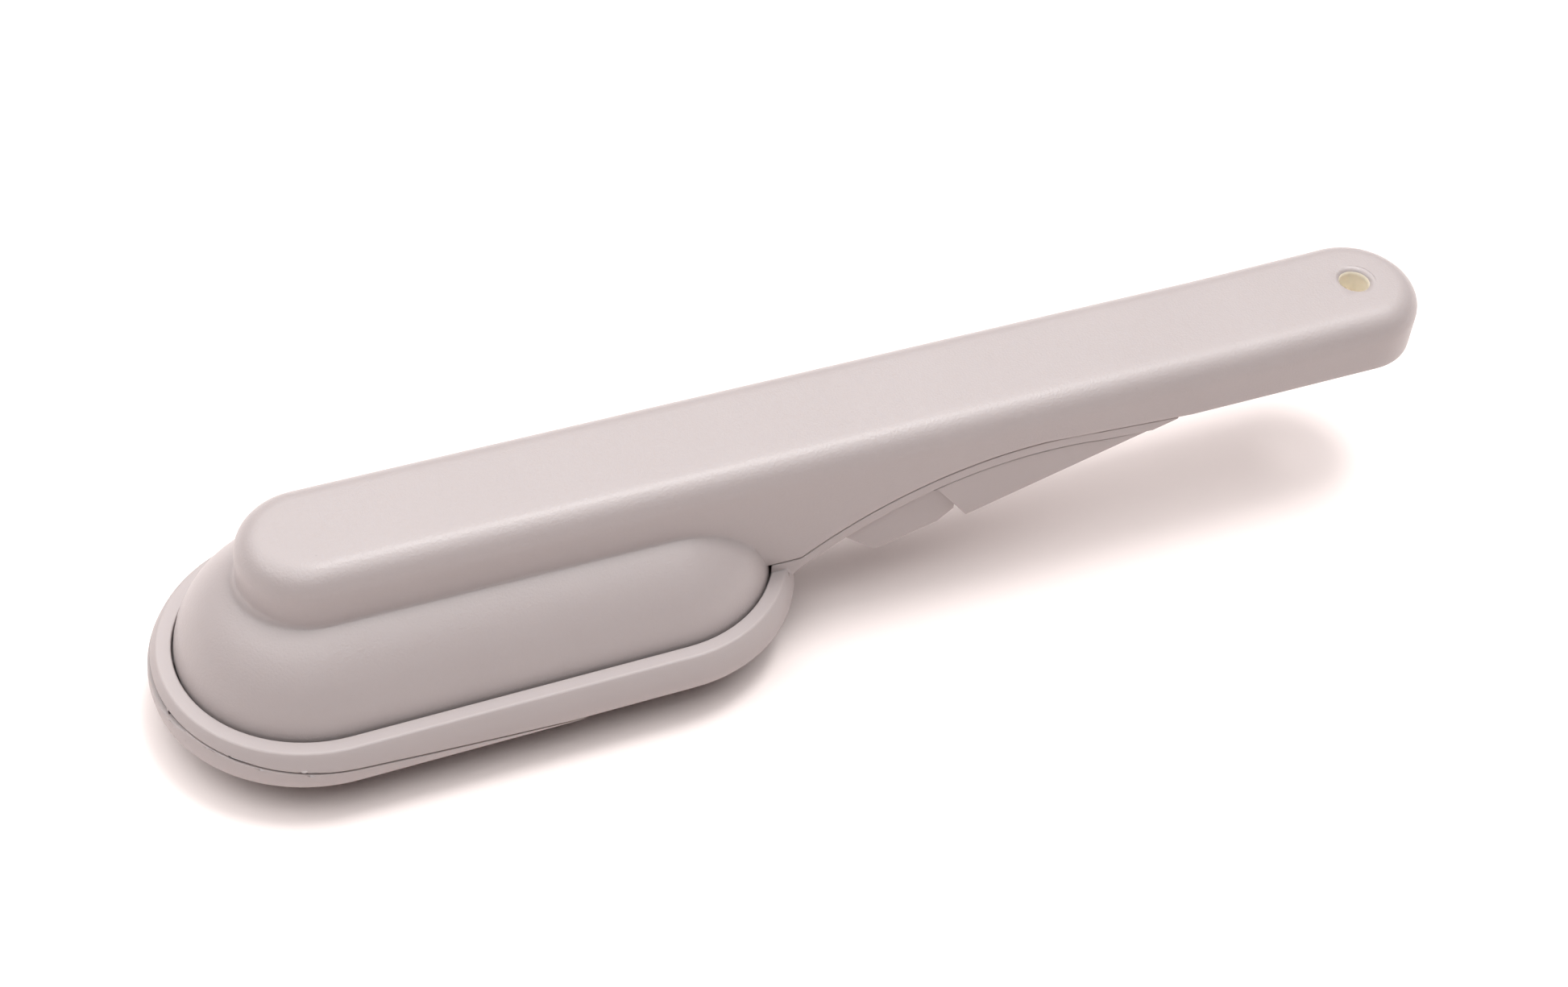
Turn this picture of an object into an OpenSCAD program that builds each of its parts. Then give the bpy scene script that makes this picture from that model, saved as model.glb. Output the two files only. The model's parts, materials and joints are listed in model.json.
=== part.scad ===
// Lift-to-open gate latch: a screwed base on a mounting pad, a hinged latch body with a notched
// arm, and a long hollow lever whose hook drops behind the gate's strike bar.
// Frame: +X from the round head to the handle's tip, +Z up, origin at the middle of the pad's
// underside.  Millimetres.  Heights of everything but the pad are measured from the pad's top,
// and above_pad() raises each piece to its place.

/* [Head] */
// Distance from the middle of the head to the centre of each round end
head_reach = 30.5; // [26:0.5:36]
// Outer radius of the head's rim
rim_r = 28.5; // [28:0.5:30]
// Radial width of the rim
rim_w = 4.4; // [4.2:0.1:4.8]
// Height of the rim above the mounting pad
rim_h = 7; // [6.8:0.1:7.6]
// Width of the rim's flat top
rim_top_w = 2.7; // [2.4:0.1:3]
// Radius of the rim's barrelled side
rim_side_r = 8; // [7:0.5:12]
// Thickness of the mounting pad, which holds the head off the gate's rail
mount_pad_h = 8; // [4:0.5:9]

/* [Lever] */
// Half width of the lever at the head end
lever_half_w = 12.45; // [11.5:0.05:13]
// Half width of the lever at the tip
tip_half_w = 13.1; // [12.5:0.05:14]
// Centre of the lever's round end on the head
lever_end_x = -30; // [-32:0.5:-28]
// Centre of the lever's round tip, which is also the hanging hole
tip_x = 176.9; // [170:0.1:180]
// Height of the lever's top
top_z = 33.4; // [32:0.1:36]
// Rounding of the lever's top edge
edge_round = 5.25; // [4:0.25:6]
// Wall thickness of the lever
wall = 2; // [1.6:0.1:2.4]
// Radius of the hanging hole
hang_hole_r = 2.8; // [2:0.1:3.2]

/* [Motion] */
// Angle the latch body lifts on the base
body_lift = 12; // [6:1:12]

/* [Fixing] */
// Distance between the two fixing screws
screw_spacing = 44; // [40:1:50]
// Radius of each fixing screw hole
screw_hole_r = 2.25; // [2:0.05:2.5]

/* [Hidden] */
$fn = 64;

plastic = [0.86, 0.82, 0.81];
inner_plastic = [0.80, 0.78, 0.76];
steel = [0.68, 0.69, 0.71];
zinc = [0.76, 0.76, 0.74];
rubber = [0.25, 0.25, 0.26];
far = 400;                        // reach of a cutting block
eps = 0.01;
gap = 0.25;                       // running gap between mouldings
slip = 0.05;                      // radial clearance of a pin in its bore
tight = 0.02;                     // radial clearance of a fixed pin or screw

rim_in_r = rim_r - rim_w;
rim_side_x = rim_r - rim_side_r;  // centre of the side's arc
rim_side_z = rim_h - sqrt(pow(rim_side_r, 2) - pow(rim_in_r + rim_top_w - rim_side_x, 2));

// Mounting pad and the two fixing screws
mount_pad_r = rim_r - 8.5;
sleeve_r = screw_hole_r + 1.8;
fixing_at = [[-screw_spacing / 2, 0], [screw_spacing / 2, 0]];

// Hinge between the base and the latch body, buried in the left end of the rim
hinge_x = -head_reach - rim_r + 3.2;
hinge_z = 4.6;
hinge_pin_r = 0.8;
hinge_knuckle_r = 1.6;
hinge_mid_w = 6;                  // width of the base's middle knuckle
hinge_w = 13;                     // width over the latch body's two knuckles
seam_slope = 4;                   // the parting line falls away from the hinge, in degrees

// Base
floor_h = 1.7;
floor_r = rim_in_r - 0.5;
lip_in_r = rim_in_r + 1.3;

// Latch body
web_z0 = floor_h + 0.3;
web_z1 = web_z0 + 1.4;
inner_wall_r0 = rim_in_r - 1.8;
inner_wall_r1 = lip_in_r - 0.4;
inner_wall_z = 4.7;
body_bottom = 0.4;

// Hinge between the latch body and the lever
pin_x = -45;
pin_z = 9.5;
pin_r = 1.5;
bush_r = 2.2;
ear_r = 3.2;
lug_r = 2.9;
ear_y = [3.4, 6.0];
lug_y = [6.3, 8.3];
clip_y = 8.45;
clip_h = 0.6;

// Dome under the lever: its profile is one arc, swept round the stadium of the head
dome_arc_r = 19.6;
dome_arc = [4.3, 4.4];            // the arc's centre, measured from the stadium's centre line
dome_bottom = 5.9;

// Lever's lower edge: flat over the rim, one long arc, a shallow fall, then the handle's underside
edge_arc_x = 105;
edge_arc_r = 88;
edge_top_z = 23.4;
edge_arc_z = edge_top_z - edge_arc_r;
edge_flat_z = 9.1;
handle_x = 136;
handle_z = 21.1;

// Notched arm of the latch body
arm_rail_h = 2.3;
arm_half_w = 12.6;                // over the rail; the catch below it is set back
catch_half_w = 12.3;
arm_in_w = 11.1;
arm_x = 48;                       // the arm starts inside the rim's right end
arm_root_x = 57;                  // up to here its top is level
catch_foot = [90.5, 8.8];         // lowest corner of the rear catch
catch_root = [83.2, 18.1];
catch_end = [133.4, 20.6];
slot_x = [61.5, 91.5];            // the hook's way through the arm
ramp_h = 1.8;

// Hook on the lever
hook_half_w = 10.9;
hook_stem_w = 9.6;
hook_nose = [72.8, 4.4];
hook_face = [63.4, 11.9];
hook_heel = [85.3, 7.6];
hook_back = [88.4, 10.0];
hook_wall = 2.2;
flange_z = 24.5;
flange_h = 2;
hook_screws = [[59.5, -5], [59.5, 5], [96.5, -5], [96.5, 5]];

// Hinge bracket on the lever
bracket_z = 16.2;
bracket_h = 1.6;
bracket_screws = [[-33, 0], [-26, 0]];
bar_x = -36;
bar_z = 11;

// Handle cover
cover_x = handle_x + 2;
cover_z = handle_z + 0.3;
cover_h = 2;
cover_screws = [[142, -6.5], [142, 6.5], [163, 0]];

// Springs and small pieces
hold_down = [-38, 14];
hold_down_head_z = 10;
pad_at = [36, 14];
pad_r = 3;
stop_z = web_z1 + 3.75;           // the lever's stops come down to here, on the pads
post_r = 3;
post_top_z = top_z - wall + 0.3;  // the posts run a little way into the lever's top wall
hang_boss_r = 5;
buffer_at = [44, 8];
screw_r = 1.2;
screw_head_r = 2.4;
screw_head_h = 1.3;

// ---------------------------------------------------------------- shared shapes

// Raises a piece from heights measured above the mounting pad
module above_pad() {
    translate([0, 0, mount_pad_h]) children();
}

// A 2D profile (radius, height) swept round the stadium of the head
module around_head() {
    for (side = [-1, 1]) {
        translate([side * head_reach, 0, 0]) rotate([0, 0, side * 90 - 180])
            rotate_extrude(angle = 180) children();
        rotate([0, 0, side * 90 - 90]) translate([-head_reach, 0, 0])
            rotate([90, 0, 90]) mirror([1, 0, 0]) linear_extrude(2 * head_reach) children();
    }
}

// The stadium of the head, solid, between two heights
module head_slab(r, z0, z1) {
    translate([0, 0, z0]) linear_extrude(z1 - z0) {
        square([2 * head_reach, 2 * r], center = true);
        for (side = [-1, 1]) translate([side * head_reach, 0]) circle(r);
    }
}

// A 2D profile in X and Z, extruded across the latch to a half width
module across(half_w) {
    translate([0, half_w, 0]) rotate([90, 0, 0]) linear_extrude(2 * half_w) children();
}

// The same, between two distances either side of the middle
module both_sides(y0, y1) {
    for (side = [-1, 1]) translate([0, side > 0 ? y1 : -y0, 0])
        rotate([90, 0, 0]) linear_extrude(y1 - y0) children();
}

// A cylinder along Y, centred on the latch
module cross_rod(x, z, r, w) {
    translate([x, w / 2, z]) rotate([90, 0, 0]) cylinder(r = r, h = w);
}

module at_each(points, z) {
    for (p = points) translate([p[0], p[1], z]) children();
}

// A pan-head screw that points up: its head hangs below z = 0
module screw_up(length) {
    cylinder(r = screw_r, h = length);
    translate([0, 0, -screw_head_h]) difference() {
        cylinder(r = screw_head_r, h = screw_head_h);
        for (turn = [0, 90]) rotate([0, 0, turn]) cube([2.6, 0.6, 1.2], center = true);
    }
}

// A round wire bent into a coil about Z, starting at angle 0 on +X
module coil(mean_r, wire_r, turns, height, steps = 22, sides = 8) {
    last = round(turns * steps);
    rings = [for (i = [0:last]) let (a = 360 * i / steps, z = height * i / last)
        for (j = [0:sides - 1]) let (b = 360 * j / sides, r = mean_r + wire_r * cos(b))
            [r * cos(a), r * sin(a), z + wire_r * sin(b)]];
    skin = [for (i = [0:last - 1], j = [0:sides - 1]) let (k = (j + 1) % sides)
        [i * sides + j, i * sides + k, (i + 1) * sides + k, (i + 1) * sides + j]];
    first_cap = [[for (j = [sides - 1:-1:0]) j]];
    last_cap = [[for (j = [0:sides - 1]) last * sides + j]];
    polyhedron(rings, concat(skin, first_cap, last_cap), convexity = 10);
}

// ---------------------------------------------------------------- the rim and its seam

// Half section of the rim from a radius and a height up: a flat top and a barrelled side
module rim_section(r0, z0) {
    intersection() {
        translate([r0, z0]) square([rim_r - r0, rim_h - z0]);
        translate([rim_side_x, rim_side_z]) circle(rim_side_r, $fn = 128);
    }
}

// Everything below the sloping parting line, moved up by lift
module below_seam(lift = 0) {
    translate([hinge_x, -far / 2, hinge_z + lift]) rotate([0, seam_slope, 0])
        translate([-far / 2, 0, -far]) cube([far, far, far]);
}

// ---------------------------------------------------------------- base

// Rubber pad between the head and the gate's rail
module mounting_pad() {
    color(rubber) difference() {
        head_slab(mount_pad_r, 0, mount_pad_h);
        at_each(fixing_at, -1) cylinder(r = sleeve_r + tight, h = mount_pad_h + 2);
    }
}

module base_plate() {
    color(plastic) above_pad() difference() {
        union() {
            head_slab(floor_r, 0, floor_h);
            intersection() {
                union() {
                    head_slab(lip_in_r + 1, 0, floor_h);
                    around_head() rim_section(lip_in_r, 0);
                }
                below_seam();
            }
            cross_rod(hinge_x, hinge_z, hinge_knuckle_r, hinge_mid_w);
        }
        // the rim's outer edge turns down here when the latch body lifts
        difference() {
            translate([hinge_x, -far / 2, hinge_z - gap]) rotate([0, -body_lift - 2, 0])
                translate([-far / 2, 0, 0]) cube([far / 2, far, 20]);
            cross_rod(hinge_x, hinge_z, hinge_knuckle_r, hinge_mid_w);
        }
        both_sides(hinge_mid_w / 2, hinge_w / 2 + 0.2)
            translate([hinge_x, hinge_z]) circle(hinge_knuckle_r + gap);
        cross_rod(hinge_x, hinge_z, hinge_pin_r + tight, hinge_w + 1);
        at_each(fixing_at, -1) cylinder(r = sleeve_r + tight, h = 10);
        for (side = [-1, 1]) {
            translate([hold_down[0], side * hold_down[1], -1])
                cylinder(r = pin_r + tight, h = 10);
            translate([buffer_at[0], side * buffer_at[1], floor_h - 1])
                cylinder(r = pad_r + tight, h = 10);
        }
    }
}

// Steel sleeves that line the two fixing holes through the base and the pad
module screw_sleeves() {
    color(zinc) at_each(fixing_at, 0) difference() {
        cylinder(r = sleeve_r, h = mount_pad_h + floor_h);
        translate([0, 0, -1]) cylinder(r = screw_hole_r, h = far / 8);
    }
}

module body_pin() {
    color(steel) above_pad() cross_rod(hinge_x, hinge_z, hinge_pin_r, hinge_w);
}

module hold_down_screws() {
    color(zinc) above_pad() for (side = [-1, 1])
        translate([hold_down[0], side * hold_down[1], 0]) difference() {
            union() {
                translate([0, 0, 0.2]) cylinder(r = pin_r, h = hold_down_head_z);
                translate([0, 0, hold_down_head_z]) cylinder(r = 3, h = 1.8);
            }
            for (turn = [0, 90]) translate([0, 0, hold_down_head_z + 1.8])
                rotate([0, 0, turn]) cube([3.4, 0.7, 1.8], center = true);
        }
}

module hold_down_washers() {
    color(zinc) above_pad() for (side = [-1, 1])
        translate([hold_down[0], side * hold_down[1], hold_down_head_z - 0.65]) difference() {
            cylinder(r = 3.7, h = 0.6);
            translate([0, 0, -1]) cylinder(r = pin_r + slip, h = 4);
        }
}

// Springs between the web of the latch body and the washers
module hold_down_springs() {
    wire_r = 0.3;
    z0 = web_z1 + wire_r + slip;
    z1 = hold_down_head_z - 0.65 - wire_r - slip;
    color(steel) above_pad() for (side = [-1, 1])
        translate([hold_down[0], side * hold_down[1], z0]) coil(2.6, wire_r, 3, z1 - z0);
}

module base_buffers() {
    color(rubber) above_pad() for (side = [-1, 1])
        translate([buffer_at[0], side * buffer_at[1], floor_h - 0.95])
            cylinder(r = pad_r, h = 1.2);
}

// ---------------------------------------------------------------- latch body

// Side view of the space under the lever's lower edge, a running gap below it
module under_lower_edge() {
    intersection() {
        translate([arm_x, 0]) square([catch_end[0] - arm_x, far / 8]);
        union() {
            translate([edge_arc_x, edge_arc_z]) circle(edge_arc_r - gap, $fn = 256);
            square([arm_root_x, edge_flat_z - gap]);
            polygon([[edge_arc_x, 0], [edge_arc_x, edge_top_z - gap],
                [handle_x, handle_z - gap], [handle_x, 0]]);
        }
    }
}

// Side view of the rail that runs along the lever's lower edge
module rail_profile() {
    difference() {
        under_lower_edge();
        translate([edge_arc_x, edge_arc_z]) circle(edge_arc_r - gap - arm_rail_h, $fn = 256);
        polygon([[edge_arc_x, 0], [edge_arc_x, edge_top_z - gap - arm_rail_h],
            [handle_x, handle_z - gap - arm_rail_h], [handle_x, 0]]);
        polygon([catch_foot, catch_end, [catch_end[0], 0], [catch_foot[0], 0]]);
    }
}

// Side view of the rear catch
module catch_profile() {
    intersection() {
        polygon([catch_root, catch_foot, catch_end, [catch_end[0], far / 8],
            [catch_root[0], far / 8]]);
        under_lower_edge();
    }
}

module arm() {
    difference() {
        union() {
            across(arm_half_w) rail_profile();
            across(catch_half_w) catch_profile();
        }
        across(arm_in_w) {
            translate([slot_x[0], 0]) square([slot_x[1] - slot_x[0], far / 8]);
            translate([0, ramp_h]) polygon([[slot_x[1] - 1, catch_foot[1]], catch_foot, catch_end,
                [catch_end[0], far / 8], [slot_x[1] - 1, far / 8]]);
        }
        head_slab(rim_in_r, -1, far / 8);
    }
}

module latch_body() {
    color(plastic) above_pad() difference() {
        union() {
            difference() {
                around_head() rim_section(rim_in_r, body_bottom);
                below_seam(gap);
            }
            around_head() {
                translate([inner_wall_r0, web_z0])
                    square([inner_wall_r1 - inner_wall_r0, inner_wall_z - web_z0]);
                translate([rim_in_r, web_z0]) square([inner_wall_r1 - rim_in_r, 3.6]);
            }
            head_slab(inner_wall_r0 + 0.5, web_z0, web_z1);
            arm();
            both_sides(lug_y[0], lug_y[1]) {
                translate([pin_x, pin_z]) circle(lug_r);
                translate([pin_x - lug_r, web_z1 - 0.5])
                    square([2 * lug_r, pin_z - web_z1 + 0.5]);
            }
            both_sides(hinge_mid_w / 2 + 0.3, hinge_w / 2)
                translate([hinge_x, hinge_z]) circle(hinge_knuckle_r);
        }
        across(hinge_mid_w / 2 + 0.3) translate([hinge_x, hinge_z]) circle(hinge_knuckle_r + gap);
        cross_rod(hinge_x, hinge_z, hinge_pin_r + slip, hinge_w + 0.5);
        cross_rod(pin_x, pin_z, pin_r + tight, 30);
        for (side = [-1, 1]) {
            translate([hold_down[0], side * hold_down[1], 0]) cylinder(r = 2.1, h = web_z1 + 1);
            translate([side * screw_spacing / 2, 0, 0]) cylinder(r = 5, h = web_z1 + 1);
        }
    }
}

module lever_pin() {
    color(steel) above_pad() difference() {
        cross_rod(pin_x, pin_z, pin_r, 2 * (clip_y + clip_h + 0.5));
        both_sides(clip_y, clip_y + clip_h) translate([pin_x, pin_z]) difference() {
            circle(pin_r + 1);
            circle(pin_r - 0.35);
        }
    }
}

// Spring clips in the grooves at the ends of the lever pin
module lever_pin_clips() {
    color(steel) above_pad() both_sides(clip_y + 0.03, clip_y + clip_h - 0.03)
        translate([pin_x, pin_z]) difference() {
            circle(pin_r + 1);
            circle(pin_r - 0.33);
            translate([-0.8, 0]) square([1.6, 5]);
        }
}

// Torsion spring round the lever pin: one leg stands on the web, one presses on the bracket's bar
module lever_spring() {
    wire_r = 0.45;
    mean_r = 3;
    half_w = 2.4;
    color(steel) above_pad() {
        translate([pin_x, half_w, pin_z]) rotate([90, 180, 0])
            mirror([0, 1, 0]) coil(mean_r, wire_r, 4.25, 2 * half_w);
        translate([pin_x - mean_r, half_w, web_z1 + slip])
            cylinder(r = wire_r, h = pin_z - web_z1 - slip);
        translate([pin_x, -half_w, pin_z + mean_r]) rotate([0, 90, 0])
            cylinder(r = wire_r, h = bar_x - pin_x + 1.6);
    }
}

// Pads on the web that the lever comes down on
module rest_pads() {
    color(rubber) above_pad() for (side = [-1, 1])
        translate([pad_at[0], side * pad_at[1], web_z1 + eps]) cylinder(r = pad_r, h = 3.6);
}

// ---------------------------------------------------------------- lever

function half_w_at(x) = lever_half_w
    + (tip_half_w - lever_half_w) * (x - lever_end_x) / (tip_x - lever_end_x);

// Section of the lever out to a rounded top corner at (w, 0), starting past the middle plane
module lever_corner(w, round_r, past = 0) {
    translate([-past, -far / 8]) square([w + past, far / 8 - round_r]);
    translate([-past, -round_r - eps]) square([w + past - round_r, round_r + eps]);
    translate([w - round_r, -round_r]) intersection() {
        circle(round_r);
        translate([-eps, -eps]) square(round_r + eps);
    }
}

module lever_round_end(x, inset, facing) {
    translate([x, 0, top_z - inset]) rotate([0, 0, facing < 0 ? 90 : -90])
        rotate_extrude(angle = 180) lever_corner(half_w_at(x) - inset, edge_round - inset);
}

// The long lever, solid, inset by a wall: two straight sides that spread a little to the tip,
// and two round ends
module lever_beam(inset) {
    run = tip_x - lever_end_x;
    turn = asin((tip_half_w - lever_half_w) / run);
    w = lever_half_w - inset;
    lever_round_end(lever_end_x, inset, -1);
    lever_round_end(tip_x, inset, 1);
    for (side = [0, 1]) mirror([0, side, 0])
        translate([lever_end_x, 0, top_z - inset]) rotate([0, 0, turn])
            rotate([90, 0, 90]) linear_extrude(run) lever_corner(w, edge_round - inset, 1.5);
}

// Side view of the space above the lever's lower edge, lifted by a clearance
module above_lower_edge(lift = 0) {
    difference() {
        translate([-60, edge_flat_z + lift]) square([far, 60]);
        translate([edge_arc_x, edge_arc_z]) circle(edge_arc_r + lift, $fn = 256);
        translate([0, lift]) polygon([[edge_arc_x, -10], [edge_arc_x, edge_top_z],
            [handle_x, handle_z], [far, handle_z], [far, -10]]);
    }
}

// Half section of the dome: the space under its arc, outside the stadium's centre line
module dome_profile(inset, bottom) {
    intersection() {
        translate(dome_arc) circle(dome_arc_r - inset, $fn = 128);
        translate([0, bottom]) square([40, 40]);
    }
}

// One post down from inside the lever's top wall
module post(z, r = post_r) {
    translate([0, 0, z]) cylinder(r = r, h = post_top_z - z);
}

module lever_posts() {
    at_each(bracket_screws, 0) post(bracket_z + bracket_h);
    at_each(hook_screws, 0) post(flange_z + flange_h);
    at_each(cover_screws, 0) post(cover_z + cover_h);
    translate([tip_x, 0, 0]) post(handle_z, hang_boss_r);
    intersection() {
        for (side = [-1, 1]) translate([pad_at[0], side * pad_at[1], stop_z])
            cylinder(r = pad_r + 0.4, h = 14);
        around_head() dome_profile(wall / 2, 0);
    }
}

// Through hole in the tip with a rounded upper edge
module hang_hole() {
    soft = 1;
    translate([tip_x, 0, -1]) cylinder(r = hang_hole_r, h = 60);
    translate([tip_x, 0, top_z - soft]) rotate_extrude() difference() {
        square([hang_hole_r + soft, soft + 1]);
        translate([hang_hole_r + soft, 0]) circle(soft);
    }
}

module lever_shell() {
    color(plastic) above_pad() difference() {
        union() {
            difference() {
                union() {
                    around_head() dome_profile(0, dome_bottom);
                    intersection() {
                        lever_beam(0);
                        across(20) above_lower_edge();
                    }
                }
                around_head() dome_profile(wall, 0);
                intersection() {
                    lever_beam(wall);
                    across(20) above_lower_edge(-eps);
                }
            }
            lever_posts();
        }
        hang_hole();
        at_each(bracket_screws, 0) cylinder(r = screw_r + tight, h = bracket_z + 9);
        at_each(hook_screws, 0) cylinder(r = screw_r + tight, h = flange_z + 7);
        at_each(cover_screws, 0) cylinder(r = screw_r + tight, h = cover_z + 9);
    }
}

module ear_profile() {
    translate([pin_x, pin_z]) circle(ear_r);
    polygon([[pin_x - 2.6, 7.8], [pin_x - 4.5, 4.0], [pin_x - 1, 4.0], [-41, 7.4],
        [-33, 8.6], [-28, bracket_z + 0.4], [-42, bracket_z + 0.4], [pin_x - 2.4, 11.6]]);
}

module hinge_bracket() {
    color(inner_plastic) above_pad() difference() {
        union() {
            both_sides(ear_y[0], ear_y[1]) ear_profile();
            translate([-42, -ear_y[1], bracket_z]) cube([20, 2 * ear_y[1], bracket_h]);
            cross_rod(bar_x, bar_z, 1, 2 * ear_y[1]);
        }
        cross_rod(pin_x, pin_z, bush_r + tight, 30);
        at_each(bracket_screws, 0) cylinder(r = screw_r + 0.1, h = 30);
    }
}

module hinge_bracket_screws() {
    color(zinc) above_pad() at_each(bracket_screws, bracket_z - eps) screw_up(8);
}

module lever_pin_bushes() {
    color(zinc) above_pad() both_sides(ear_y[0], ear_y[1]) translate([pin_x, pin_z]) difference() {
        circle(bush_r);
        circle(pin_r + slip);
    }
}

// Side view of the hook below the arm
module hook_profile() {
    polygon([hook_face, hook_nose, hook_heel, hook_back, [hook_back[0], 20.6],
        [82, 19.2], [74, 16.6], [hook_face[0], 12.4]]);
}

module hook_stem_profile() {
    polygon([[66, 11], [hook_back[0], 15], [hook_back[0], flange_z + 0.5], [66, flange_z + 0.5]]);
}

module catch_hook() {
    color(plastic) above_pad() difference() {
        union() {
            across(hook_half_w) hook_profile();
            across(hook_stem_w) hook_stem_profile();
            translate([56, -hook_stem_w, flange_z]) cube([44, 2 * hook_stem_w, flange_h]);
        }
        // hollow, open at the top
        across(hook_stem_w - hook_wall) polygon([[70, 10.2], [74, 7.3], [84.4, 10.2],
            [hook_back[0] - hook_wall, 12.4], [hook_back[0] - hook_wall, 40], [70, 40]]);
        at_each(hook_screws, 0) cylinder(r = screw_r + 0.1, h = 40);
    }
}

module catch_hook_screws() {
    color(zinc) above_pad() at_each(hook_screws, flange_z - eps) screw_up(6.4);
}

module handle_cover() {
    cover_w = half_w_at(cover_x) - wall - 0.2;
    end_r = tip_half_w - wall - 0.2;
    color(plastic) above_pad() difference() {
        translate([0, 0, cover_z]) linear_extrude(cover_h) {
            translate([cover_x, -cover_w]) square([tip_x - cover_x, 2 * cover_w]);
            translate([tip_x, 0]) circle(end_r);
        }
        translate([tip_x, 0, 0]) cylinder(r = 5.2, h = 60);
        at_each(cover_screws, 0) cylinder(r = screw_r + 0.1, h = 60);
        at_each(cover_screws, cover_z - eps) cylinder(r = screw_head_r + 0.15, h = 1.31);
    }
}

module handle_cover_screws() {
    color(zinc) above_pad() at_each(cover_screws, cover_z + screw_head_h) screw_up(7);
}

// ---------------------------------------------------------------- what is drawn

mounting_pad();
base_plate();
screw_sleeves();
body_pin();
hold_down_screws();
hold_down_washers();
hold_down_springs();
base_buffers();
latch_body();
lever_pin();
lever_pin_clips();
lever_spring();
rest_pads();
lever_shell();
hinge_bracket();
hinge_bracket_screws();
lever_pin_bushes();
catch_hook();
catch_hook_screws();
handle_cover();
handle_cover_screws();
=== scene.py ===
"""Looks of the lift-to-open gate latch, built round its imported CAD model.

Shapes are worked out in millimetres, with heights above the mounting pad's top, and make_object
turns them into metres in the shared frame.
"""

import json
import math

import bmesh
import bpy
import numpy as np
from mathutils import Matrix, Vector


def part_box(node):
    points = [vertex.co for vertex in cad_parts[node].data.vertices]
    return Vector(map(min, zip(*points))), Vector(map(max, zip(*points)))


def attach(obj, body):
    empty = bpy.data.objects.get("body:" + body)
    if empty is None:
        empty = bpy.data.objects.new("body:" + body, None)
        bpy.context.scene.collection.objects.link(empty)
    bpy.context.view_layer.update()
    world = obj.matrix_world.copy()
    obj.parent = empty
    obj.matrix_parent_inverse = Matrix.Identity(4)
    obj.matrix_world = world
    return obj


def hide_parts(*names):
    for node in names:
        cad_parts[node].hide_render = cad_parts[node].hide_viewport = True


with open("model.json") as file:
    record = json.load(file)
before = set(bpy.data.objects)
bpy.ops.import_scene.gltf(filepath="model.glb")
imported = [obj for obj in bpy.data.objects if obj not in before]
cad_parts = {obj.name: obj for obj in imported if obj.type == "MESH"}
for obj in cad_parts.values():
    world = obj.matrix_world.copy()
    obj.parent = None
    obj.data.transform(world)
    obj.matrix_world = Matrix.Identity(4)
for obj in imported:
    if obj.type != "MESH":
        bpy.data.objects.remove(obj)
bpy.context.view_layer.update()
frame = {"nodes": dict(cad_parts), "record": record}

MM = 0.001

# ---------------------------------------------------------------- driving sizes

SHELL_LOW, SHELL_HIGH = (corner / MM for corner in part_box("lever_shell"))
PAD_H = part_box("mounting_pad")[1].z / MM

HEAD_REACH = 30.5               # from the middle of the head to each round end's centre

LEVER_END_X = -30.0
LEVER_HALF_W = 12.45
TIP_X = 176.9
TIP_HALF_W = SHELL_HIGH.x - TIP_X
BEND_X = 148.0                  # the handle turns up a little here
TOP_END_Z = SHELL_HIGH.z - PAD_H
TOP_BEND_Z = TOP_END_Z - 0.65
TOP_TIP_Z = TOP_END_Z - 0.2
TOP_CLEAR = 0.02                # the top stays at least this far below the CAD's
EDGE_ROUND = 5.25
WALL = 2.0
HOLE_R = 2.8

DOME_BOTTOM = SHELL_LOW.z - PAD_H
DOME_WALL = 1.6
# The dome's flank is one arc; its centre is (distance out from the head's centre line, height)
DOME_ARC = (4.3, 4.4)
DOME_ARC_R = 19.6
DOME_INNER_REACH = 10.4         # the flank ends inside the lever's side

EDGE_ARC_X = 105.0
EDGE_ARC_R = 88.0
EDGE_TOP_Z = 23.4
EDGE_FLAT_Z = 9.1
HANDLE_X = 136.0
HANDLE_Z = 21.1
EDGE_SOFT = 0.35                # rounding of the lever's lower edge
EDGE_SINK = 1.0                 # how far the lower edge goes into the dome
CLOSE_FROM_X, CLOSE_TO_X = 40.0, 62.0   # closer sections, where the lever leaves the dome

HOLE_SOFT = 1.3                 # rounding of the hanging hole's upper edge
BORE_EDGE = 0.2                 # faces this far outside the hole's radius are its wall
BOSS_R = 5.0                    # outside of the tube round the hanging hole

JUNCTION_R = 0.7                # soft corner between dome and lever, along the sides
JUNCTION_END_R = 1.9            # and what the lever's round end adds to it
JUNCTION_LAST_X = 47.5
JUNCTION_DEPTH = 0.7            # how far the corner's fill reaches into the lever
JUNCTION_SINK = (0.2, 0.9)      # and into the dome: (inward, down)

SKIRT_SOFT = 0.25               # rounding of the dome's lower edge

CAMERA_PLACE = (-97.43, -306.67, 350.54)
CAMERA_ANGLES = (44.44, 26.96, 5.63)    # pitch down, yaw to the right, roll
CAMERA_LENS = 60.28


# ---------------------------------------------------------------- mesh helpers


def make_object(name, points, faces):
    """A mesh object from points in millimetres, with heights above the mounting pad."""
    mesh = bpy.data.meshes.new(name)
    raised = (np.asarray(points) + (0, 0, PAD_H)) * MM
    mesh.from_pydata([tuple(p) for p in raised], [], faces)
    mesh.validate()
    piece = bpy.data.objects.new(name, mesh)
    bpy.context.scene.collection.objects.link(piece)
    tidy_mesh(piece, smooth_angle=35.0)
    return piece


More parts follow.
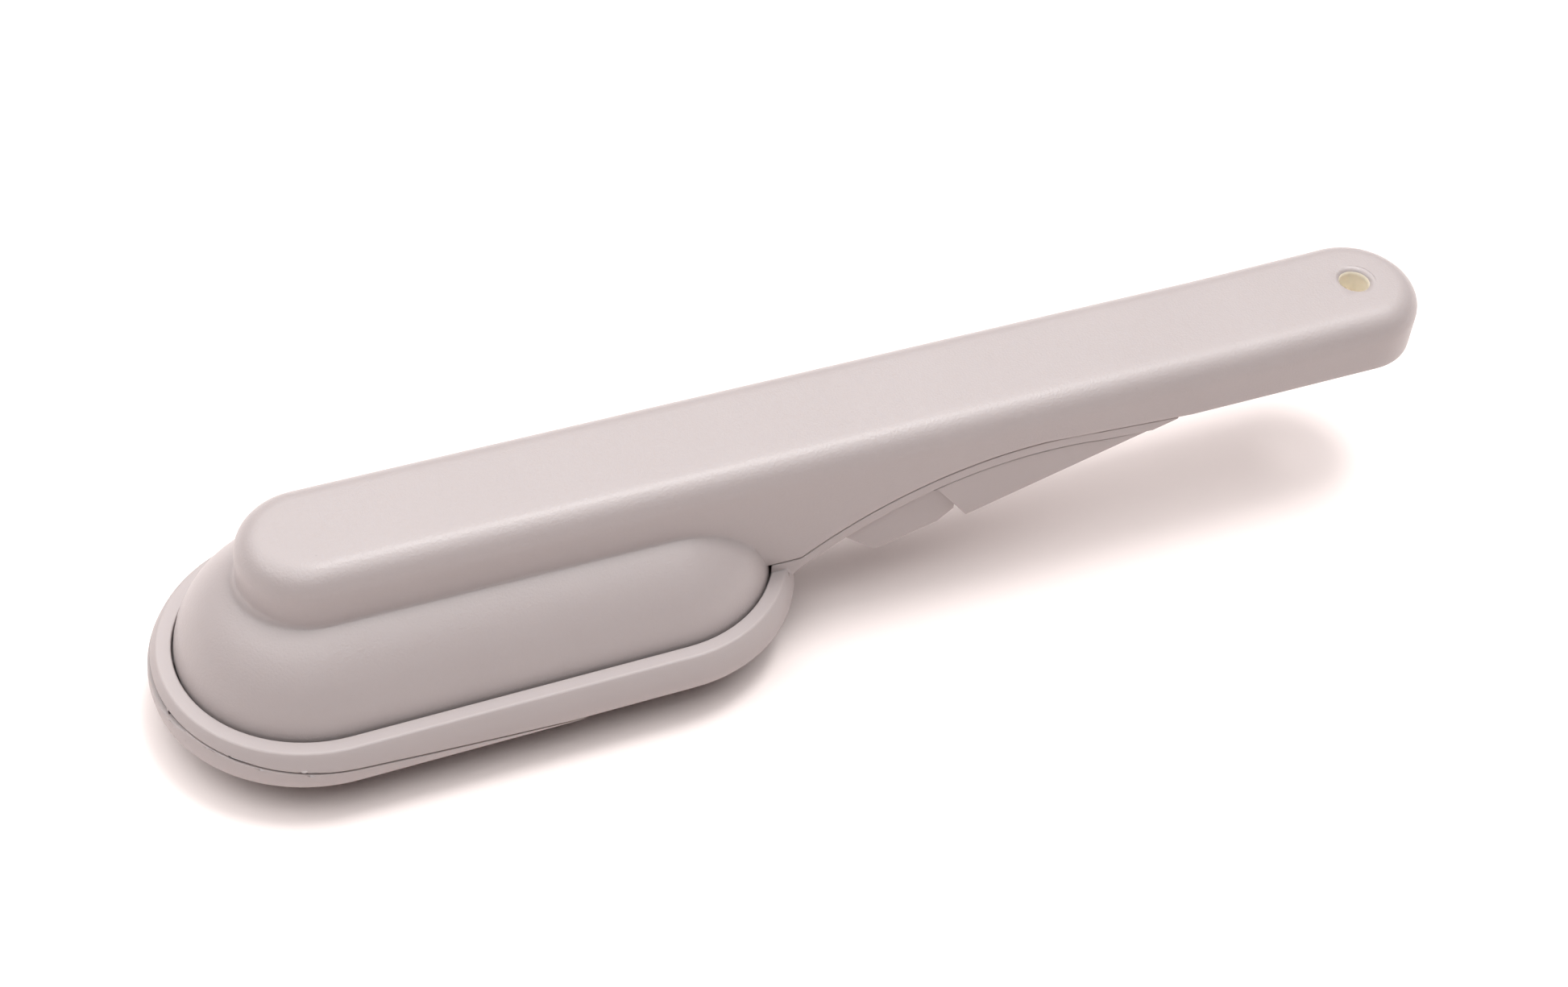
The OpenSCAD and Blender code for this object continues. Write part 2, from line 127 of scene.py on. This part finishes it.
def tidy_mesh(piece, smooth_angle):
    """Merges doubled points, makes the faces look outward, and shades them smooth up to an angle."""
    bm = bmesh.new()
    bm.from_mesh(piece.data)
    bmesh.ops.remove_doubles(bm, verts=bm.verts, dist=0.004 * MM)
    bmesh.ops.dissolve_degenerate(bm, edges=bm.edges, dist=0.002 * MM)
    bmesh.ops.recalc_face_normals(bm, faces=bm.faces)
    bm.to_mesh(piece.data)
    bm.free()
    piece.data.shade_smooth()
    piece.data.set_sharp_from_angle(angle=math.radians(smooth_angle))


def grid_faces(rows, columns, close_rows, close_columns):
    """Quads of a grid whose point at row r, column c has the index r * columns + c."""
    faces = []
    for r in range(rows if close_rows else rows - 1):
        for c in range(columns if close_columns else columns - 1):
            r1, c1 = (r + 1) % rows, (c + 1) % columns
            faces.append((r * columns + c, r * columns + c1, r1 * columns + c1, r1 * columns + c))
    return faces


def combine(piece, other, operation):
    """Joins another closed mesh to a piece, or cuts it away, and removes the other."""
    modifier = piece.modifiers.new("combine", "BOOLEAN")
    modifier.operation = operation
    modifier.solver = "MANIFOLD"
    modifier.object = other
    bpy.context.view_layer.update()
    result = bpy.data.meshes.new_from_object(
        piece.evaluated_get(bpy.context.evaluated_depsgraph_get()))
    piece.modifiers.clear()
    piece.data = result
    bpy.data.objects.remove(other)


# ---------------------------------------------------------------- outlines


def stadium(reach, steps_round=28, steps_straight=36):
    """Stations round the head: (centre, outward direction) pairs, a closed loop."""
    stations = []
    for side in (-1, 1):
        start = math.pi / 2 if side < 0 else -math.pi / 2
        for i in range(steps_round + 1):
            a = start + math.pi * i / steps_round
            stations.append(((side * reach, 0.0), (math.cos(a), math.sin(a))))
        for i in range(1, steps_straight):
            x = side * (reach - 2 * reach * i / steps_straight)
            stations.append(((x, 0.0), (0.0, float(side))))
    return stations


def half_width(x):
    """Half the lever's width, which grows evenly to the tip."""
    t = (x - LEVER_END_X) / (TIP_X - LEVER_END_X)
    return LEVER_HALF_W + (TIP_HALF_W - LEVER_HALF_W) * min(max(t, 0.0), 1.0)


def top_z(x):
    """Height of the lever's top: a slow fall to the bend, then a slight rise to the tip."""
    fall = (TOP_BEND_Z - TOP_END_Z) / (BEND_X - LEVER_END_X)
    rise = (TOP_TIP_Z - TOP_BEND_Z) / (TIP_X - BEND_X)
    blend = 1.2
    s = x - BEND_X
    ramp = 0.5 * (s + math.sqrt(s * s + blend * blend))
    return min(TOP_BEND_Z + fall * s + (rise - fall) * ramp, TOP_END_Z - TOP_CLEAR)


def lower_edge_z(x):
    """Height of the lever's lower edge."""
    if x >= HANDLE_X:
        return HANDLE_Z
    if x >= EDGE_ARC_X:
        return EDGE_TOP_Z + (HANDLE_Z - EDGE_TOP_Z) * (x - EDGE_ARC_X) / (HANDLE_X - EDGE_ARC_X)
    arc = EDGE_TOP_Z - EDGE_ARC_R + math.sqrt(max(EDGE_ARC_R ** 2 - (x - EDGE_ARC_X) ** 2, 0.0))
    return max(arc, EDGE_FLAT_Z)


def dome_line(steps=44):
    """The dome's outside from its skirt up to inside the lever: (distance out, height) points."""
    skirt = math.asin((DOME_BOTTOM - DOME_ARC[1]) / DOME_ARC_R)
    top = math.acos((DOME_INNER_REACH - DOME_ARC[0]) / DOME_ARC_R)
    angles = np.linspace(skirt, top, steps)
    return np.column_stack((DOME_ARC[0] + DOME_ARC_R * np.cos(angles),
                            DOME_ARC[1] + DOME_ARC_R * np.sin(angles)))


DOME_LINE = dome_line()


def dome_z(x, y):
    """Height of the dome's outside over a point, or 0 beyond its skirt."""
    out = math.hypot(max(abs(x) - HEAD_REACH, 0.0), y)
    return float(np.interp(out, DOME_LINE[::-1, 0], DOME_LINE[::-1, 1], right=0.0))


# ---------------------------------------------------------------- lever


def lever_stations():
    """Stations round the lever: centre, outward direction and half width, a closed loop."""
    turns = 32
    straight = np.concatenate([
        np.linspace(LEVER_END_X, CLOSE_FROM_X, 30, endpoint=False),
        np.linspace(CLOSE_FROM_X, CLOSE_TO_X, 56, endpoint=False),
        np.linspace(CLOSE_TO_X, HANDLE_X, 60, endpoint=False),
        np.linspace(HANDLE_X, TIP_X, 30, endpoint=False)])[1:]
    stations = []
    for i in range(turns + 1):
        a = math.pi / 2 + math.pi * i / turns
        stations.append((LEVER_END_X, math.cos(a), math.sin(a), LEVER_HALF_W))
    stations += [(x, 0.0, -1.0, half_width(x)) for x in straight]
    for i in range(turns + 1):
        a = -math.pi / 2 + math.pi * i / turns
        stations.append((TIP_X, math.cos(a), math.sin(a), TIP_HALF_W))
    stations += [(x, 0.0, 1.0, half_width(x)) for x in straight[::-1]]
    return stations


def lever_section(x, dx, dy, w):
    """Points of the hollow lever's wall in one upright plane, from the outer middle of the top,
    down the outside, round the lower edge and back up the inside."""
    def at(n):
        return x + n * dx, n * dy
    def top(n):
        return top_z(at(n)[0])
    wx, wy = at(w)
    soft = EDGE_SOFT
    low = max(lower_edge_z(wx), dome_z(wx, wy) - EDGE_SINK)
    points = [(n, top(n)) for n in np.linspace(0, w - EDGE_ROUND, 5)]
    for a in np.linspace(0, math.pi / 2, 13)[1:]:
        n = w - EDGE_ROUND + EDGE_ROUND * math.sin(a)
        points.append((n, top(n) - EDGE_ROUND + EDGE_ROUND * math.cos(a)))
    high = points[-1][1]
    points += [(w, high + (low + soft - high) * t) for t in np.linspace(0, 1, 9)[1:]]
    points += [(w - soft + soft * math.cos(a), low + soft - soft * math.sin(a))
               for a in np.linspace(0, math.pi / 2, 4)[1:]]
    inner_w, inner_round = w - WALL, EDGE_ROUND - WALL
    points.append((inner_w, low))
    inner_high = top(inner_w) - WALL - inner_round
    points += [(inner_w, low + (inner_high - low) * t) for t in np.linspace(0, 1, 5)[1:]]
    for a in np.linspace(math.pi / 2, 0, 6)[1:]:
        n = inner_w - inner_round + inner_round * math.sin(a)
        points.append((n, top(n) - WALL - inner_round + inner_round * math.cos(a)))
    points.append((0.0, top(0) - WALL))
    return [(*at(n), z) for n, z in points]


def lever_beam():
    """The long hollow lever."""
    sections = [lever_section(*station) for station in lever_stations()]
    rows, columns = len(sections), len(sections[0])
    points = np.array(sections).reshape(-1, 3)
    return make_object("lever_shell_moulding", points, grid_faces(rows, columns, True, False))


def dome_section():
    """The dome's wall in the plane of a station: (distance out, height), a closed loop."""
    soft = SKIRT_SOFT
    outer = DOME_LINE[::-1]
    along = np.gradient(outer, axis=0)
    along /= np.linalg.norm(along, axis=1)[:, None]
    inner = (outer + DOME_WALL * np.column_stack((along[:, 1], -along[:, 0])))[::-1]
    inner[:, 1] = np.maximum(inner[:, 1], DOME_BOTTOM)
    skirt = outer[outer[:, 1] > DOME_BOTTOM + soft]
    r, z = skirt[-1][0], DOME_BOTTOM + soft
    rounded = [(r - soft + soft * math.cos(a), z - soft * math.sin(a))
               for a in np.linspace(0, math.pi / 2, 4)]
    return [*map(tuple, skirt), *rounded, *map(tuple, inner[::3])]


def sweep_round(name, stations, section):
    """A closed section of (distance out, height) swept round a loop of stations."""
    points = [(c[0] + d[0] * r, c[1] + d[1] * r, z) for c, d in stations for r, z in section]
    return make_object(name, points, grid_faces(len(stations), len(section), True, True))


def junction_section(x, dx, dy, w):
    """The soft inner corner where the lever's side meets the dome, in one upright plane: it is
    widest at the lever's round end."""
    radius = JUNCTION_R + JUNCTION_END_R * max(-dx, 0.0) ** 2
    ns = np.linspace(w, w + 4 * radius, 90)
    zs = np.array([dome_z(x + n * dx, n * dy) for n in ns])
    centre_n = w + radius
    # lower the arc's centre until the arc touches the dome, by halving the interval
    low, high = zs[0], zs[0] + 12 * radius
    for _ in range(30):
        middle = (low + high) / 2
        clear = np.hypot(ns - centre_n, zs - middle).min()
        low, high = (middle, high) if clear < radius else (low, middle)
    centre_z = high
    k = int(np.hypot(ns - centre_n, zs - centre_z).argmin())
    end = math.atan2(zs[k] - centre_z, ns[k] - centre_n)
    points = [(centre_n + radius * math.cos(a), centre_z + radius * math.sin(a))
              for a in np.linspace(-math.pi, end, 9)]
    inside = w - JUNCTION_DEPTH
    points += [(points[-1][0] - JUNCTION_SINK[0], points[-1][1] - JUNCTION_SINK[1]),
               (inside, zs[0] - JUNCTION_DEPTH), (inside, centre_z)]
    return [(x + n * dx, n * dy, z) for n, z in points]


def junction_fillet():
    """The soft inner corner round the head end of the lever."""
    stations = [s for s in lever_stations() if s[0] <= JUNCTION_LAST_X]
    first = next(i for i, s in enumerate(stations) if s[2] > 0 and s[0] > LEVER_END_X)
    stations = stations[first:] + stations[:first]
    sections = [junction_section(*station) for station in stations]
    rows, columns = len(sections), len(sections[0])
    faces = grid_faces(rows, columns, False, True)
    faces.append(tuple(range(columns)))
    faces.append(tuple((rows - 1) * columns + c for c in reversed(range(columns))))
    return make_object("junction", np.array(sections).reshape(-1, 3), faces)


def lathe(name, profile, x, y, steps=64):
    """A closed profile of (radius, height) turned about an upright axis."""
    points = [(x + r * math.cos(a), y + r * math.sin(a), z)
              for a in np.linspace(0, 2 * math.pi, steps, endpoint=False) for r, z in profile]
    return make_object(name, points, grid_faces(steps, len(profile), True, False))


def hang_hole_cutter():
    """A round cutter for the hanging hole, flared at the top to round the hole's edge."""
    soft = HOLE_SOFT
    top = TOP_TIP_Z
    flare = [(HOLE_R + soft - soft * math.cos(a), top - soft + soft * math.sin(a))
             for a in np.linspace(0, math.pi / 2, 9)]
    above = top + 3
    profile = [(0, 0), (HOLE_R, 0)] + flare + [(HOLE_R + soft, above), (0, above)]
    return lathe("hole", profile, TIP_X, 0.0)


def lever_moulding():
    """The dome, the lever, their soft junction and the hanging hole, as one moulding."""
    piece = lever_beam()
    combine(piece, sweep_round("dome", stadium(HEAD_REACH), dome_section()), "UNION")
    combine(piece, junction_fillet(), "UNION")
    boss_top = TOP_TIP_Z - 1
    boss = [(0, HANDLE_Z), (BOSS_R, HANDLE_Z), (BOSS_R, boss_top), (0, boss_top)]
    combine(piece, lathe("boss", boss, TIP_X, 0.0), "UNION")
    combine(piece, hang_hole_cutter(), "DIFFERENCE")
    tidy_mesh(piece, smooth_angle=30.0)
    return piece


def paint_bore_light(piece):
    """Gives the wall of the hanging hole the second material, a pale cream of painted light: it
    stands in for the light that comes through the hole and the plastic.
    """
    for face in piece.data.polygons:
        out = math.hypot(face.center.x / MM - TIP_X, face.center.y / MM)
        face.material_index = 1 if out < HOLE_R + BORE_EDGE else 0


# ---------------------------------------------------------------- materials


def new_material(name, colour, roughness):
    """A material with its node tree, its links and its shader."""
    material = bpy.data.materials.new(name)
    material.use_nodes = True
    nodes, links = material.node_tree.nodes, material.node_tree.links
    shader = nodes["Principled BSDF"]
    shader.inputs["Base Color"].default_value = (*colour, 1.0)
    shader.inputs["Roughness"].default_value = roughness
    return material, nodes, links, shader


def add_node(nodes, kind, **values):
    """A node with some sockets or settings filled in."""
    node = nodes.new(kind)
    for key, value in values.items():
        if key in node.inputs:
            node.inputs[key].default_value = value
        else:
            setattr(node, key, value)
    return node


# The two tones that are mottled together in each plastic
OFF_WHITE = ((0.392, 0.348, 0.344, 1), (0.414, 0.370, 0.367, 1))
# A paler cream pair for the hanging hole's wall: painted light, standing in for the light that comes
# through the hole and the plastic
BORE_PAINTED_LIGHT_TONES = ((0.80, 0.74, 0.62, 1), (0.86, 0.80, 0.68, 1))


def moulded_plastic(name, grain_mm, grain_height, roughness, tones=OFF_WHITE):
    """Moulded plastic with a fine texture, faint mottling between two tones and a few specks."""
    material, nodes, links, shader = new_material(name, tones[0][:3], roughness)
    shader.inputs["IOR"].default_value = 1.49
    shader.inputs["Subsurface Weight"].default_value = 0.25
    shader.inputs["Subsurface Radius"].default_value = (1.0, 0.8, 0.65)
    shader.inputs["Subsurface Scale"].default_value = 1.5 * MM
    place = add_node(nodes, "ShaderNodeTexCoord")
    cloud = add_node(nodes, "ShaderNodeTexNoise", Scale=40.0, Detail=4.0)
    tint = add_node(nodes, "ShaderNodeValToRGB")
    tint.color_ramp.elements[0].color, tint.color_ramp.elements[1].color = tones
    specks = add_node(nodes, "ShaderNodeTexVoronoi", Scale=110.0)
    speck_mask = add_node(nodes, "ShaderNodeMapRange")
    speck_mask.inputs["From Min"].default_value = 0.012
    speck_mask.inputs["From Max"].default_value = 0.028
    speck_mask.inputs["To Min"].default_value = 0.82
    speck_mask.inputs["To Max"].default_value = 1.0
    darken = add_node(nodes, "ShaderNodeMix", data_type="RGBA", blend_type="MULTIPLY")
    darken.inputs["Factor"].default_value = 1.0
    grain = add_node(nodes, "ShaderNodeTexNoise", Scale=1.0 / (grain_mm * MM), Detail=3.0)
    bump = add_node(nodes, "ShaderNodeBump", Strength=1.0, Distance=grain_height * MM)
    links.new(place.outputs["Object"], cloud.inputs["Vector"])
    links.new(place.outputs["Object"], specks.inputs["Vector"])
    links.new(place.outputs["Object"], grain.inputs["Vector"])
    links.new(cloud.outputs["Fac"], tint.inputs["Fac"])
    links.new(specks.outputs["Distance"], speck_mask.inputs["Value"])
    links.new(tint.outputs["Color"], darken.inputs["A"])
    links.new(speck_mask.outputs["Result"], darken.inputs["B"])
    links.new(darken.outputs["Result"], shader.inputs["Base Color"])
    links.new(grain.outputs["Fac"], bump.inputs["Height"])
    links.new(bump.outputs["Normal"], shader.inputs["Normal"])
    return material


def metal(name, colour, roughness):
    """Plated or drawn steel with fine scratches."""
    material, nodes, links, shader = new_material(name, colour, roughness)
    shader.inputs["Metallic"].default_value = 1.0
    place = add_node(nodes, "ShaderNodeTexCoord")
    streaks = add_node(nodes, "ShaderNodeTexNoise", Scale=900.0, Detail=3.0)
    spread = add_node(nodes, "ShaderNodeMapRange")
    spread.inputs["To Min"].default_value = roughness - 0.08
    spread.inputs["To Max"].default_value = roughness + 0.12
    bump = add_node(nodes, "ShaderNodeBump", Strength=0.4, Distance=0.02 * MM)
    links.new(place.outputs["Object"], streaks.inputs["Vector"])
    links.new(streaks.outputs["Fac"], spread.inputs["Value"])
    links.new(spread.outputs["Result"], shader.inputs["Roughness"])
    links.new(streaks.outputs["Fac"], bump.inputs["Height"])
    links.new(bump.outputs["Normal"], shader.inputs["Normal"])
    return material


def rubber_material():
    """Matt black rubber with a fine grain."""
    material, nodes, links, shader = new_material("rubber", (0.03, 0.03, 0.032), 0.7)
    place = add_node(nodes, "ShaderNodeTexCoord")
    grain = add_node(nodes, "ShaderNodeTexNoise", Scale=1800.0, Detail=2.0)
    tone = add_node(nodes, "ShaderNodeValToRGB")
    tone.color_ramp.elements[0].color = (0.022, 0.022, 0.024, 1)
    tone.color_ramp.elements[1].color = (0.045, 0.045, 0.047, 1)
    bump = add_node(nodes, "ShaderNodeBump", Strength=0.5, Distance=0.03 * MM)
    links.new(place.outputs["Object"], grain.inputs["Vector"])
    links.new(grain.outputs["Fac"], tone.inputs["Fac"])
    links.new(tone.outputs["Color"], shader.inputs["Base Color"])
    links.new(grain.outputs["Fac"], bump.inputs["Height"])
    links.new(bump.outputs["Normal"], shader.inputs["Normal"])
    return material


# name, grain size and height in mm, roughness
TEXTURED = moulded_plastic("plastic_textured", 0.45, 0.06, 0.34)
SMOOTH = moulded_plastic("plastic_smooth", 0.3, 0.008, 0.45)
# The hanging hole's wall: its pale cream is painted light that stands in for light coming through
# the hole
BORE_PAINTED_LIGHT = moulded_plastic("plastic_bore_painted_light", 0.3, 0.008, 0.5, BORE_PAINTED_LIGHT_TONES)
NODE_MATERIALS = {
    "moulded_plastic": SMOOTH,
    "bracket_plastic": moulded_plastic("plastic_inner", 0.4, 0.02, 0.55),
    "eyelet_steel": metal("eyelet_steel", (0.66, 0.66, 0.63), 0.35),
    "pin_steel": metal("pin_steel", (0.60, 0.61, 0.63), 0.28),
    "spring_steel": metal("spring_steel", (0.50, 0.51, 0.53), 0.32),
    "zinc_screws": metal("zinc_screws", (0.70, 0.70, 0.67), 0.34),
    "bush_metal": metal("bush_metal", (0.60, 0.50, 0.34), 0.45),
    "rubber": rubber_material(),
}

# Width of the rounding on each CAD node that stays in view, in mm
SOFT_EDGES = {"latch_body": 0.32, "base_plate": 0.1, "catch_hook": 0.08, "handle_cover": 0.2,
              "mounting_pad": 0.6}


def soften_edges(node_name, width):
    """Rounds the sharp edges of a CAD node with modifiers; its own mesh isn't touched."""
    modifiers = frame["nodes"][node_name].modifiers
    weld = modifiers.new("joined_faces", "WELD")
    weld.merge_threshold = 0.003 * MM
    bevel = modifiers.new("soft_edges", "BEVEL")
    bevel.width = width * MM
    bevel.segments = 3
    bevel.limit_method = "ANGLE"
    bevel.angle_limit = math.radians(28)
    bevel.use_clamp_overlap = False
    even = modifiers.new("even_shading", "WEIGHTED_NORMAL")
    even.keep_sharp = True


def dress_cad_nodes():
    """Gives each CAD node that stays in view the material of its slot."""
    for entry in frame["record"]["subparts"]:
        node = frame["nodes"][entry["node"]]
        for i in range(len(node.material_slots)):
            node.material_slots[i].material = NODE_MATERIALS[entry["material_slot"]]


# ---------------------------------------------------------------- floor, light and camera


def floor():
    """A plain pale floor, far wider than the view; its reach is in metres."""
    reach = 6.0
    mesh = bpy.data.meshes.new("floor")
    mesh.from_pydata([(-reach, -reach, 0), (reach, -reach, 0), (reach, reach, 0),
                      (-reach, reach, 0)], [], [(0, 1, 2, 3)])
    plane = bpy.data.objects.new("floor", mesh)
    bpy.context.scene.collection.objects.link(plane)
    material, _, _, shader = new_material("floor", (0.92, 0.845, 0.825), 0.9)
    shader.inputs["Specular IOR Level"].default_value = 0.1
    mesh.materials.append(material)


# name, strength, colour, direction towards the light, and how wide it looks in degrees
SOFTBOXES = (
    ("overhead_softbox", 4.4, (1.0, 0.985, 0.98), (-0.04, 0.16, 1.0), 94),
    ("highlight_softbox", 1.0, (1.0, 0.99, 0.985), (0.25, 0.10, 0.95), 16),
)


def add_softbox(name, strength, colour, towards_light, width):
    """A distant light that looks as wide as a softbox, so its shadows are soft."""
    data = bpy.data.lights.new(name, "SUN")
    data.energy = strength
    data.color = colour
    data.angle = math.radians(width)
    light = bpy.data.objects.new(name, data)
    bpy.context.scene.collection.objects.link(light)
    light.rotation_euler = Vector(towards_light).to_track_quat("Z", "Y").to_euler()


def studio():
    """The floor, a wide softbox overhead, a smaller one for the highlights, and a little light
    all round."""
    floor()
    for softbox in SOFTBOXES:
        add_softbox(*softbox)
    world = bpy.data.worlds.new("studio")
    world.use_nodes = True
    world.node_tree.nodes["Background"].inputs["Color"].default_value = (1.0, 0.92, 0.89, 1)
    world.node_tree.nodes["Background"].inputs["Strength"].default_value = 0.06
    bpy.context.scene.world = world
    bpy.context.scene.view_settings.view_transform = "Standard"


def camera():
    """The photo's view: from the head end, in front and above, with a slight roll."""
    pitch, yaw, roll = (math.radians(v) for v in CAMERA_ANGLES)
    forward = Vector((math.sin(yaw) * math.cos(pitch), math.cos(yaw) * math.cos(pitch),
                      -math.sin(pitch)))
    right = Vector((math.cos(yaw), -math.sin(yaw), 0.0))
    up = right.cross(forward)
    side = math.cos(roll) * right + math.sin(roll) * up
    head = -math.sin(roll) * right + math.cos(roll) * up
    data = bpy.data.cameras.new("camera")
    data.sensor_fit = "HORIZONTAL"
    data.sensor_width = 36.0
    data.lens = CAMERA_LENS
    eye = bpy.data.objects.new("camera", data)
    bpy.context.scene.collection.objects.link(eye)
    turn = Matrix((side, head, -forward)).transposed().to_4x4()
    place = (Vector(CAMERA_PLACE) + Vector((0, 0, PAD_H))) * MM
    eye.matrix_world = Matrix.Translation(place) @ turn
    bpy.context.scene.camera = eye


camera()
studio()
dress_cad_nodes()

for name, width in SOFT_EDGES.items():
    soften_edges(name, width)

shell = lever_moulding()
shell.data.materials.clear()
shell.data.materials.append(TEXTURED)
# The second slot holds the bore's painted light
shell.data.materials.append(BORE_PAINTED_LIGHT)
paint_bore_light(shell)
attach(shell, "lever")
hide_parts("lever_shell")
